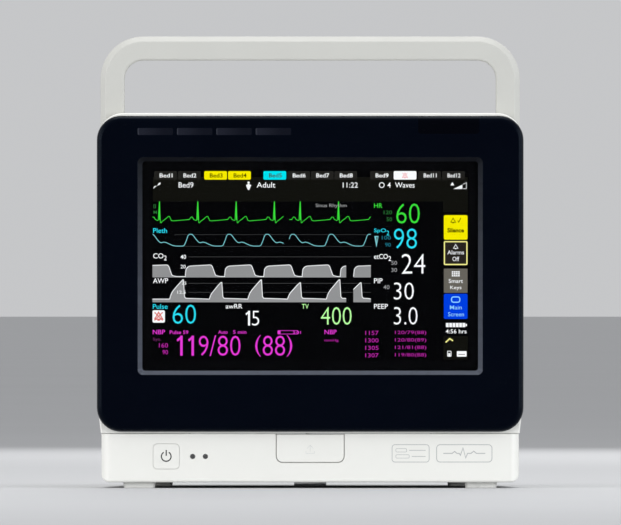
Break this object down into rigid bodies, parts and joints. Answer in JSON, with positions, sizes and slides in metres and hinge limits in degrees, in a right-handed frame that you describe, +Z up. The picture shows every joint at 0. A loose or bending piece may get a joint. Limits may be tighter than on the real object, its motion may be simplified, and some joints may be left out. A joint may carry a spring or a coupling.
{
  "type": "patient monitor",
  "caption": "Bedside patient monitor with a wide touch display in a dark bezel, a fixed carry handle, side sockets, a rear connector bay and a quick mount latch.",
  "frame": {"origin": "on the resting surface, below the middle of the bounding box", "axes": "+X to the right seen from the front, +Y from the front to the back, +Z up"},
  "size_m": [0.2646, 0.166, 0.2804],
  "materials": {
    "bezel": "satin, near black",
    "badge": "satin, darker than the bezel",
    "lamp_lens": "smoked and clear",
    "foam": "closed cell foam",
    "touch_glass": "chemically hardened, with a black printed border",
    "display": "liquid crystal cell",
    "light_guide": "white reflector tray",
    "sheet_steel": "zinc plated sheet",
    "flat_cable": "polyimide",
    "white_case": "fine moulded texture",
    "rating_plate": "anodised, blank",
    "grey_handle": "light grey moulding",
    "screw_steel": "plated",
    "foot_rubber": "pale grey",
    "cast_plate": "machined",
    "white_key": "fine moulded texture",
    "switch_black": "moulded",
    "circuit_board": "green solder mask",
    "light_pipe": "smoked and clear",
    "latch_steel": "ground",
    "guide_black": "moulded",
    "spring_steel": "drawn wire",
    "battery_case": "moulded",
    "contact_block": "moulded",
    "fin_aluminium": "black anodised",
    "cage_steel": "plated sheet",
    "shield_steel": "tinned sheet",
    "pump_steel": "plated can",
    "valve_white": "moulded",
    "panel_grey": "fine moulded texture",
    "ecg_green": "moulded",
    "spo2_blue": "moulded",
    "press_red": "moulded",
    "temp_brown": "moulded",
    "nbp_grey": "moulded",
    "co2_ochre": "moulded",
    "gold_pin": "gold plated",
    "socket_plate": "plated sheet",
    "inlet_black": "moulded",
    "nickel": "nickel plated",
    "speaker_black": "basket, magnet and paper cone"
  },
  "bodies": {
    "monitor": {"front_bezel": "bezel", "badge_tab": "badge", "alarm_lens": "lamp_lens", "alarm_board": "circuit_board", "screen_gasket": "foam", "touch_glass": "touch_glass", "lcd_cell": "display", "lcd_backlight": "light_guide", "lcd_bracket": "sheet_steel", "display_cable": "flat_cable", "front_frame": "white_case", "rear_housing": "white_case", "rating_plate": "rating_plate", "carry_handle": "grey_handle", "handle_screws": "screw_steel", "bezel_screws": "screw_steel", "rear_screws": "screw_steel", "base_screws": "screw_steel", "base_tray": "white_case", "rubber_feet": "foot_rubber", "mount_plate": "cast_plate", "power_switch": "switch_black", "key_board": "circuit_board", "status_lights": "light_pipe", "latch_guide": "guide_black", "latch_spring": "spring_steel", "door_pins": "screw_steel", "battery_pack": "battery_case", "battery_cradle": "guide_black", "battery_contacts": "contact_block", "chassis": "sheet_steel", "chassis_posts": "sheet_steel", "main_board": "circuit_board", "board_standoffs": "nickel", "heat_sink": "fin_aluminium", "power_supply": "cage_steel", "measurement_module": "shield_steel", "nbp_pump": "pump_steel", "nbp_valve": "valve_white", "connector_panel": "panel_grey", "ecg_socket": "ecg_green", "spo2_socket": "spo2_blue", "press_socket": "press_red", "temp_socket": "temp_brown", "nbp_socket": "nbp_grey", "co2_socket": "co2_ochre", "socket_pins": "gold_pin", "io_plate": "socket_plate", "mains_inlet": "inlet_black", "mains_pins": "nickel", "equipotential_stud": "nickel", "network_jack": "nickel", "usb_ports": "nickel", "call_jack": "nickel", "link_port": "inlet_black", "loudspeaker": "speaker_black"},
    "power_key": {"power_key": "white_key"},
    "release_key": {"release_key": "white_key"},
    "latch_bolt": {"latch_bolt": "latch_steel"},
    "battery_door": {"battery_door": "white_case"}
  },
  "joints": [
    {"name": "power_key_press", "type": "slide", "parent": "monitor", "child": "power_key", "axis": [0, 1, 0], "range_m": [0, 0.0008], "stiffness_N_per_m": 2500, "springref_m": -0.0003},
    {"name": "latch_bolt_lift", "type": "slide", "parent": "monitor", "child": "latch_bolt", "axis": [0, 0, 1], "range_m": [0, 0.003], "stiffness_N_per_m": 1200, "springref_m": -0.0015, "deforming": ["latch_spring"]},
    {"name": "release_key_press", "type": "slide", "parent": "monitor", "child": "release_key", "axis": [0, 1, 0], "range_m": [0, 0.003]},
    {"name": "battery_door_hinge", "type": "hinge", "parent": "monitor", "child": "battery_door", "pos_m": [0, 0.0816, 0.0106], "axis": [-1, 0, 0], "range_deg": [0, 95]}
  ],
  "couplings": [
    {"joint": "release_key_press", "follows": "latch_bolt_lift", "ratio": 1}
  ]
}
